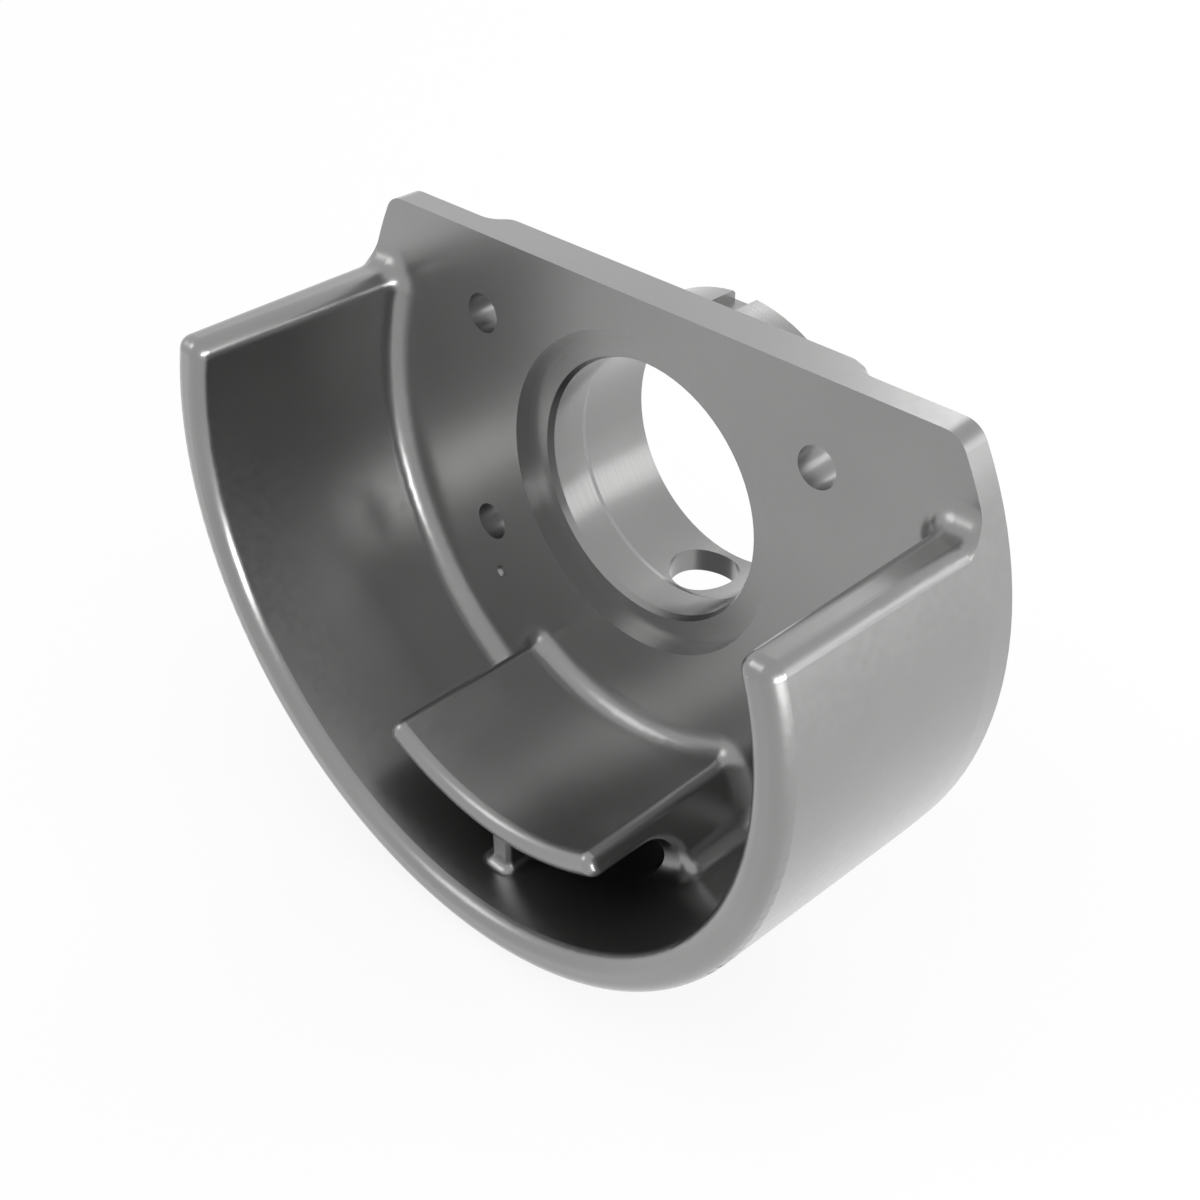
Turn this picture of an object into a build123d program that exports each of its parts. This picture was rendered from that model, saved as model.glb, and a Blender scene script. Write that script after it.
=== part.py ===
from build123d import *
import os
from math import cos, hypot, radians, sin

os.makedirs("parts", exist_ok=True)

# Bearing housing: one iron casting with machined seats, in millimetres.
# The bore runs along Y and the plate's front face lies at Y = 0. The shroud stands out
# in front of it, towards -Y, and the hub behind it. +Z is up, where the plate is cut flat.

# Plate and the raised pad behind it
plate_radius = 102.0
plate_thickness = 8.0
chord_height = 52.6
chord_corner_radius = 6.5
plate_edge_chamfer = 0.8
pad_height = 4.0
pad_top_radius = 73.3
pad_foot_radius = 80.5

# Shroud: a wall that follows the rim round the lower side, open at the top
shroud_depth = 63.8
shroud_draft = 2.0
shroud_front_wall = 9.6
shroud_top = 32.7
shroud_edge_round = 3.8

# Cast blend in the inner corners of the shroud, the plate and the webs
cast_blend = 6.0

# Shelf: a concentric ledge in the bottom of the shroud, on two legs and a middle rib
shelf_gap = 13.65
shelf_thickness = 6.75
shelf_depth = 52.75
shelf_edge_round = 3.1
leg_angle = 27.6
leg_thickness = 7.0
leg_depth = 24.8
leg_arch_radius = 9.7
leg_corner_radius = 4.0
leg_edge_round = 2.0
rib_thickness = 6.8
rib_depth = 48.3
rib_edge_round = 1.5
rib_foot_blend = 2.9

# Hub, its stepped bore and the recess round the bore's mouth
hub_radius = 41.3
hub_end = 38.6
hub_edge_chamfer = 0.8
recess_radius = 42.5
recess_depth = 3.7
mouth_radius = 34.9
mouth_length = 1.7
seat_radius = 34.0
seat_end = 15.6
relief_taper_length = 1.8
relief_radius = 34.8
groove_width = 7.5
groove_depth = 2.6
cross_hole_radius = 9.4
cross_hole_place = 27.1

# Bolt pattern, and the small dimple beside it
bolt_circle_radius = 62.0
bolt_hole_radius = 5.25
bolt_angle = 30.0
dimple_radius = 1.8
dimple_depth = 0.9
dimple_place = (-50.5, -46.0)

# Sizes that follow from the ones above
shroud_front_radius = plate_radius - shroud_draft
shroud_inner_radius = shroud_front_radius - shroud_front_wall
shelf_outer_radius = shroud_inner_radius - shelf_gap
shelf_inner_radius = shelf_outer_radius - shelf_thickness
blank_radius = plate_radius + 2 * cast_blend
web_root = plate_thickness / 2
web_reach = (shroud_inner_radius + shroud_front_radius) / 2
pad_face = plate_thickness + pad_height
leg_apex = leg_thickness / 2 / sin(radians(leg_angle))


def wedge(apex):
    """Corners of the downward wedge whose sides lie on the legs' faces."""
    reach = 2 * plate_radius
    side = reach * sin(radians(leg_angle))
    foot = apex - reach * cos(radians(leg_angle))
    return [(0, apex), (side, foot), (-side, foot)]


def from_axis(point):
    """Distance of a point from the bore axis."""
    return hypot(point.X, point.Z)


def from_leg_middle(point):
    """Distance of a point outwards from the middle plane of the leg on its side."""
    return abs(point.X) * cos(radians(leg_angle)) + point.Z * sin(radians(leg_angle))


# Shelf and legs, still without blends where they meet the plate and the shroud
with BuildPart() as webs:
    with BuildSketch(Plane.XZ.offset(-web_root)):
        Circle(web_reach)
        Circle(shelf_inner_radius, mode=Mode.SUBTRACT)
        with BuildLine():
            Polyline(*wedge(leg_apex), close=True)
        make_face(mode=Mode.INTERSECT)
    extrude(amount=shelf_depth + web_root)

    # the space between the legs, rounded where they hang from the shelf
    with BuildSketch(Plane.XZ.offset(-web_root)) as between_legs:
        Circle(web_reach + 1)
        Circle(shelf_outer_radius, mode=Mode.SUBTRACT)
        with BuildLine():
            Polyline(*wedge(-leg_apex), close=True)
        make_face(mode=Mode.INTERSECT)
        inner_corners = between_legs.vertices().group_by(lambda v: hypot(v.X, v.Y))[0]
        fillet(inner_corners, radius=leg_corner_radius)
    extrude(amount=shelf_depth + web_root, mode=Mode.SUBTRACT)

    # the legs stop short of the shelf's front edge, in an arch
    with BuildSketch(Plane.YZ) as before_legs:
        with Locations((-leg_depth, -shelf_outer_radius)):
            Rectangle(shelf_depth, web_reach, align=(Align.MAX, Align.MAX))
        arch_corner = before_legs.vertices().group_by(Axis.X)[-1].group_by(Axis.Y)[-1]
        fillet(arch_corner, radius=leg_arch_radius)
    revolve(axis=Axis.Y, mode=Mode.SUBTRACT)

    # rounded outer edges of the legs and their arches, then of the shelf's front and top
    arch_edges = webs.edges().filter_by(
        lambda e: (e @ 0.5).Y < -leg_depth + 0.001
        and shelf_outer_radius - 0.001 < from_axis(e @ 0.5) < web_reach - 0.1
        and abs(from_leg_middle(e @ 0.5) - leg_thickness / 2) < 0.001
    )
    fillet(arch_edges, radius=leg_edge_round)
    shown_edges = webs.edges().filter_by(
        lambda e: abs((e @ 0.5).Y + shelf_depth) < 0.001
        or ((e @ 0.5).Y < web_root and abs(from_axis(e @ 0.5) - shelf_inner_radius) < 0.001)
    )
    fillet(shown_edges, radius=shelf_edge_round)

with BuildPart() as housing:
    # shroud wall, drafted outside, turned about the bore and cut level
    with BuildSketch(Plane.YZ):
        with BuildLine():
            Polyline(
                (0, shroud_inner_radius),
                (-shroud_depth, shroud_inner_radius),
                (-shroud_depth, shroud_front_radius),
                (0, plate_radius),
                close=True,
            )
        make_face()
    revolve(axis=Axis.Y)
    with BuildSketch(Plane.XZ):
        with Locations((0, shroud_top)):
            Rectangle(3 * plate_radius, plate_radius, align=(Align.CENTER, Align.MIN))
    extrude(amount=shroud_depth, mode=Mode.SUBTRACT)
    wall_edges = housing.edges().filter_by(lambda e: e.center().Y < 0)
    fillet(wall_edges, radius=shroud_edge_round)

    # a blank wider than the plate carries the wall, so that the blend at its foot can run
    # all the way round the wall before the rim is turned to size
    with BuildSketch(Plane.XZ):
        Circle(blank_radius)
    extrude(amount=-plate_thickness)
    add(webs.part)

    # cast blends in every inner corner of the wall, the legs and the plate
    foot_edges = housing.edges().filter_by(lambda e: abs(e.center().Y) < 0.001)
    foot_edges = foot_edges.filter_by(lambda e: from_axis(e @ 0.5) < plate_radius + 0.1)
    wall_foot_edges = housing.edges().filter_by(
        lambda e: -shelf_depth < (e @ 0.5).Y < 0
        and abs(from_axis(e @ 0.5) - shroud_inner_radius) < 0.001
        and (e @ 0.5).Z < 0
    )
    fillet(foot_edges + wall_foot_edges, radius=cast_blend)

    # middle rib between the shelf's underside and the bottom of the wall
    with BuildSketch(Plane.XY.offset(-web_reach)):
        with Locations((0, web_root)):
            Rectangle(rib_thickness, web_root + rib_depth, align=(Align.CENTER, Align.MAX))
    extrude(amount=web_reach - shelf_outer_radius + shelf_thickness / 2)
    rib_front_edges = housing.edges().filter_by(
        lambda e: abs(abs((e @ 0.5).X) - rib_thickness / 2) < 0.001
        and abs((e @ 0.5).Y + rib_depth) < 0.001
    )
    fillet(rib_front_edges, radius=rib_edge_round)
    rib_feet = housing.edges().filter_by(
        lambda e: abs((e @ 0.5).X) < rib_thickness / 2 + 0.001
        and -rib_depth - 0.001 < (e @ 0.5).Y < 0.001
        and shelf_outer_radius - 0.001 < from_axis(e @ 0.5) < shroud_inner_radius + 0.001
        and abs((e @ 0).Z - (e @ 1).Z) < cast_blend + 0.001
    )
    fillet(rib_feet, radius=rib_foot_blend)

    # the rim is turned to the plate's radius and, over the wall's foot, to the wall's draft
    trim_length = 1.5 * cast_blend
    trim_radius = plate_radius - shroud_draft * trim_length / shroud_depth
    with BuildSketch(Plane.YZ):
        with BuildLine():
            Polyline(
                (plate_thickness, plate_radius),
                (0, plate_radius),
                (-trim_length, trim_radius),
                (-trim_length, blank_radius + 1),
                (plate_thickness, blank_radius + 1),
                close=True,
            )
        make_face()
    revolve(axis=Axis.Y, mode=Mode.SUBTRACT)

    # raised pad behind the plate, with shoulders that flow into the plate
    shoulder_middle = (plate_thickness + pad_height / 2, (pad_top_radius + pad_foot_radius) / 2)
    with BuildSketch(Plane.YZ):
        with BuildLine():
            Line((plate_thickness, pad_foot_radius), (plate_thickness, 0))
            Line((plate_thickness, 0), (pad_face, 0))
            Line((pad_face, 0), (pad_face, pad_top_radius))
            shoulder = TangentArc((pad_face, pad_top_radius), shoulder_middle, tangent=(0, 1))
            TangentArc(shoulder_middle, (plate_thickness, pad_foot_radius), tangent=shoulder % 1)
        make_face()
    revolve(axis=Axis.Y)

    # flat across the top, through the plate and the pad alike
    with BuildSketch(Plane.XZ.offset(-pad_face)):
        with Locations((0, chord_height)):
            Rectangle(3 * plate_radius, plate_radius, align=(Align.CENTER, Align.MIN))
    extrude(amount=pad_face, mode=Mode.SUBTRACT)
    chord_corners = housing.edges().filter_by(Axis.Y).filter_by(
        lambda e: abs(e.center().Z - chord_height) < 0.001
    )
    fillet(chord_corners, radius=chord_corner_radius)
    rear_outline = housing.edges().filter_by(
        lambda e: e.center().Y > plate_thickness - 0.001
        and (abs((e @ 0.5).Z - chord_height) < 0.001
        or from_axis(e @ 0.5) > pad_foot_radius + 1)
    )
    chamfer(rear_outline, length=plate_edge_chamfer)

    # hub with a grease groove along its top
    with BuildSketch(Plane.XZ.offset(-pad_face)):
        Circle(hub_radius)
    extrude(amount=pad_face - hub_end)
    chamfer(housing.faces().sort_by(Axis.Y)[-1].edges(), length=hub_edge_chamfer)
    with BuildSketch(Plane.XY.offset(hub_radius - groove_depth)):
        with Locations((0, pad_face)):
            Rectangle(groove_width, hub_end - pad_face, align=(Align.CENTER, Align.MIN))
    extrude(amount=groove_depth + 1, mode=Mode.SUBTRACT)

    # recess, bevelled mouth, bearing seat and wider relief bore, as one turned profile
    with BuildSketch(Plane.YZ):
        with BuildLine():
            Polyline(
                (-1, 0),
                (-1, recess_radius),
                (recess_depth, recess_radius),
                (recess_depth, mouth_radius),
                (recess_depth + mouth_length, seat_radius),
                (seat_end, seat_radius),
                (seat_end + relief_taper_length, relief_radius),
                (hub_end + 1, relief_radius),
                (hub_end + 1, 0),
                close=True,
            )
        make_face()
    revolve(axis=Axis.Y, mode=Mode.SUBTRACT)

    # drain hole through the underside of the hub
    with BuildSketch(Plane.XY.offset(-hub_radius - 1)):
        with Locations((0, cross_hole_place)):
            Circle(cross_hole_radius)
    extrude(amount=hub_radius + 1, mode=Mode.SUBTRACT)

    # bolt holes through the plate and the pad
    bolt_height = bolt_circle_radius * sin(radians(bolt_angle))
    bolt_reach = bolt_circle_radius * cos(radians(bolt_angle))
    with BuildSketch(Plane.XZ.offset(-pad_face)):
        with GridLocations(2 * bolt_reach, 2 * bolt_height, 2, 2):
            Circle(bolt_hole_radius)
    extrude(amount=pad_face, mode=Mode.SUBTRACT)

    # shallow dimple in the plate's front face
    ball_radius = (dimple_radius**2 + dimple_depth**2) / (2 * dimple_depth)
    with Locations((dimple_place[0], dimple_depth - ball_radius, dimple_place[1])):
        Sphere(ball_radius, mode=Mode.SUBTRACT)

housing.part.label = "housing"
export_step(housing.part, "parts/housing.step")
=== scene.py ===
import math

import bpy
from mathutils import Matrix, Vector


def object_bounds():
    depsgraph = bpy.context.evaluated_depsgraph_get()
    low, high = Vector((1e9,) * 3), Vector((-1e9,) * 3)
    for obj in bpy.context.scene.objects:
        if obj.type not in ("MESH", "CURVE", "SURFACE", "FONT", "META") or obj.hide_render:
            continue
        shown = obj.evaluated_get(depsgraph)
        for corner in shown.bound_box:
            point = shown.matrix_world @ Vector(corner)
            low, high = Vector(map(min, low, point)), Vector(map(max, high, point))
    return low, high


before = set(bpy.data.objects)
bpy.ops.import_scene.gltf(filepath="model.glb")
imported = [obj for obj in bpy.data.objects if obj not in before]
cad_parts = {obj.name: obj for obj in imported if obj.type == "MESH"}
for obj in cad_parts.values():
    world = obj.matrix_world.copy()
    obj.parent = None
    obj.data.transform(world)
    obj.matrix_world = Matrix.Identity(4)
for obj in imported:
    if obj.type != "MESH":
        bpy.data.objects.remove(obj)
cad_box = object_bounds()

# Camera at the photograph's viewing angle, in metres
CAMERA_PLACE = (0.237426, -0.249382, 0.212848)
CAMERA_AZIMUTH = math.radians(45.0)
CAMERA_ELEVATION = math.radians(35.264)
CLIP_START = 0.01
CLIP_END = 50.0
SENSOR_WIDTH = 36.0
FOCAL_PIXELS = 1657.12
PHOTO_PIXELS = 1200

# Floor and world: how far the floor counts as plain white, and the soft light all round
FLOOR_SIZE = 8.0
FLOOR_COLOUR = (0.88, 0.88, 0.88, 1.0)
FLOOR_WHITE_SHARE = 0.84
FULL_WHITE = 1.0
AMBIENT = 0.9

# Metal: a satin grey cast skin under a thin clear coat, turned in and round the bore
METAL_COLOUR = (0.235, 0.235, 0.233)
METAL_SHARE = 0.96
SKIN_ROUGHNESS = (0.28, 0.32)
TURNED_ROUGHNESS = (0.2, 0.27)
COAT_WEIGHT = 1.0
COAT_ROUGHNESS = 0.27

# Surface detail: range of the tone, noise scales per metre, height of the relief
COLOUR_RANGE = (0.96, 1.04)
NOISE_RANGE = (0.35, 0.65)
CLOUD_SCALE = 22.0
SKIN_SCALE = 420.0
SKIN_DETAIL = 3.0
RING_SCALE = 1500.0
RELIEF = 0.000005

# Turned faces: everything this near the bore's axis, and behind the plate's front
TURNED_RADIUS = 0.0426
TURNED_FRONT = -0.0004

# Soft lamps: place, width, height and brightness as seen in a mirror
LAMPS = (
    ("top_lamp", (-0.58, 1.43, 0.82), 0.5, 0.6, 2.2),
    ("back_lamp", (0.9, 1.2, 0.4), 1.1, 0.6, 1.4),
    ("right_lamp", (1.5, -0.1, 0.1), 1.6, 0.4, 14.0),
    ("front_lamp", (-1.2, -1.2, 1.2), 0.9, 0.9, 2.0),
)


def make_camera():
    """Creates the camera and makes it the scene's own."""
    data = bpy.data.cameras.new("photo_camera")
    data.sensor_width = SENSOR_WIDTH
    data.lens = FOCAL_PIXELS * SENSOR_WIDTH / PHOTO_PIXELS
    data.clip_start = CLIP_START
    data.clip_end = CLIP_END
    camera = bpy.data.objects.new("photo_camera", data)
    camera.location = CAMERA_PLACE
    camera.rotation_euler = (math.pi / 2 - CAMERA_ELEVATION, 0.0, CAMERA_AZIMUTH)
    bpy.context.scene.collection.objects.link(camera)
    bpy.context.scene.camera = camera


def new_material(name):
    """An empty node material with its output, ready for nodes."""
    material = bpy.data.materials.new(name)
    material.use_nodes = True
    tree = material.node_tree
    tree.nodes.clear()
    output = tree.nodes.new("ShaderNodeOutputMaterial")
    return material, tree, output


def math_node(tree, operation, first, second=0.0):
    """A math node whose values are sockets or plain numbers."""
    node = tree.nodes.new("ShaderNodeMath")
    node.operation = operation
    for socket, value in zip(node.inputs, (first, second)):
        if isinstance(value, float):
            socket.default_value = value
        else:
            tree.links.new(value, socket)
    return node.outputs[0]


def spread(tree, value, low, high):
    """Stretches a noise value over the range from low to high."""
    node = tree.nodes.new("ShaderNodeMapRange")
    node.inputs["From Min"].default_value = NOISE_RANGE[0]
    node.inputs["From Max"].default_value = NOISE_RANGE[1]
    node.inputs["To Min"].default_value = low
    node.inputs["To Max"].default_value = high
    tree.links.new(value, node.inputs["Value"])
    return node.outputs["Result"]


def choose(tree, share, first, second):
    """The first number where share is 0, and the second where it is 1."""
    node = tree.nodes.new("ShaderNodeMix")
    for index, value in ((0, share), (2, first), (3, second)):
        tree.links.new(value, node.inputs[index])
    return node.outputs[0]


def noise(tree, place, scale):
    """A noise texture over space, or along one number where place is a number."""
    node = tree.nodes.new("ShaderNodeTexNoise")
    node.inputs["Scale"].default_value = scale
    if place.type == "VECTOR":
        tree.links.new(place, node.inputs["Vector"])
    else:
        node.noise_dimensions = "1D"
        tree.links.new(place, node.inputs["W"])
    return node


def cast_metal():
    """Satin grey metal: cloudy tone, fine cast skin, fine rings where it is turned."""
    material, tree, output = new_material("cast_metal")
    place = tree.nodes.new("ShaderNodeTexCoord").outputs["Object"]

    axes = tree.nodes.new("ShaderNodeSeparateXYZ")
    tree.links.new(place, axes.inputs[0])
    along = axes.outputs["Y"]
    across = math_node(tree, "MULTIPLY", axes.outputs["X"], axes.outputs["X"])
    upward = math_node(tree, "MULTIPLY", axes.outputs["Z"], axes.outputs["Z"])
    radius = math_node(tree, "SQRT", math_node(tree, "ADD", across, upward))
    turned = math_node(tree, "MULTIPLY",
                       math_node(tree, "LESS_THAN", radius, TURNED_RADIUS),
                       math_node(tree, "GREATER_THAN", along, TURNED_FRONT))

    cloud = noise(tree, place, CLOUD_SCALE)
    skin = noise(tree, place, SKIN_SCALE)
    skin.inputs["Detail"].default_value = SKIN_DETAIL
    rings = noise(tree, math_node(tree, "ADD", radius, along), RING_SCALE)

    tint = tree.nodes.new("ShaderNodeVectorMath")
    tint.operation = "SCALE"
    tint.inputs[0].default_value = METAL_COLOUR
    tree.links.new(spread(tree, cloud.outputs[0], *COLOUR_RANGE), tint.inputs["Scale"])
    roughness = choose(tree, turned,
                       spread(tree, skin.outputs[0], *SKIN_ROUGHNESS),
                       spread(tree, rings.outputs[0], *TURNED_ROUGHNESS))
    height = choose(tree, turned, skin.outputs[0], rings.outputs[0])
    relief = tree.nodes.new("ShaderNodeBump")
    relief.inputs["Distance"].default_value = RELIEF
    tree.links.new(height, relief.inputs["Height"])

    shader = tree.nodes.new("ShaderNodeBsdfPrincipled")
    shader.inputs["Metallic"].default_value = METAL_SHARE
    shader.inputs["Coat Weight"].default_value = COAT_WEIGHT
    shader.inputs["Coat Roughness"].default_value = COAT_ROUGHNESS
    tree.links.new(tint.outputs[0], shader.inputs["Base Color"])
    tree.links.new(roughness, shader.inputs["Roughness"])
    tree.links.new(relief.outputs[0], shader.inputs["Normal"])
    tree.links.new(shader.outputs["BSDF"], output.inputs["Surface"])
    return material


def background_rays(tree):
    """One where the ray comes from the camera, a glossy surface or through glass."""
    rays = tree.nodes.new("ShaderNodeLightPath").outputs
    total = rays["Is Camera Ray"]
    for ray in ("Is Glossy Ray", "Is Transmission Ray"):
        total = math_node(tree, "MAXIMUM", total, rays[ray])
    return total


def make_floor(height):
    """Pale floor that reads as the photograph's white and keeps the shadow."""
    material, tree, output = new_material("floor_white")
    diffuse = tree.nodes.new("ShaderNodeBsdfDiffuse")
    diffuse.inputs["Color"].default_value = FLOOR_COLOUR
    glow = tree.nodes.new("ShaderNodeEmission")
    glow.inputs["Strength"].default_value = FULL_WHITE
    share = math_node(tree, "MULTIPLY", background_rays(tree), FLOOR_WHITE_SHARE)
    mix = tree.nodes.new("ShaderNodeMixShader")
    tree.links.new(share, mix.inputs[0])
    tree.links.new(diffuse.outputs[0], mix.inputs[1])
    tree.links.new(glow.outputs[0], mix.inputs[2])
    tree.links.new(mix.outputs[0], output.inputs["Surface"])
    bpy.ops.mesh.primitive_plane_add(size=FLOOR_SIZE, location=(0.0, 0.0, height))
    floor = bpy.context.object
    floor.name = "floor"
    floor.data.materials.append(material)


def make_world():
    """White background, and softer light from all round on everything else."""
    world = bpy.data.worlds.new("studio")
    world.use_nodes = True
    bpy.context.scene.world = world
    tree = world.node_tree
    tree.nodes.clear()
    output = tree.nodes.new("ShaderNodeOutputWorld")
    background = tree.nodes.new("ShaderNodeBackground")
    background.inputs["Color"].default_value = (1.0, 1.0, 1.0, 1.0)
    strength = tree.nodes.new("ShaderNodeMapRange")
    strength.inputs["To Min"].default_value = AMBIENT
    strength.inputs["To Max"].default_value = FULL_WHITE
    tree.links.new(background_rays(tree), strength.inputs["Value"])
    tree.links.new(strength.outputs[0], background.inputs["Strength"])
    tree.links.new(background.outputs[0], output.inputs["Surface"])


def make_lamp(name, place, width, height, brightness):
    """Soft flat lamp that faces the housing."""
    data = bpy.data.lights.new(name, "AREA")
    data.shape = "RECTANGLE"
    data.size = width
    data.size_y = height
    data.energy = brightness * math.pi * width * height
    lamp = bpy.data.objects.new(name, data)
    lamp.location = place
    lamp.rotation_euler = (-Vector(place)).to_track_quat("-Z", "Y").to_euler()
    lamp.visible_camera = False
    bpy.context.scene.collection.objects.link(lamp)


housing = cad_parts["housing"]
metal = cast_metal()
for slot in housing.material_slots:
    slot.material = metal

# Shading weighed by face area, so that thin triangles at the seams leave no mark
housing.modifiers.new("even_shading", "WEIGHTED_NORMAL").keep_sharp = True

make_camera()
make_world()
make_floor(cad_box[0][2])
for lamp in LAMPS:
    make_lamp(*lamp)

bpy.context.scene.view_settings.view_transform = "Standard"
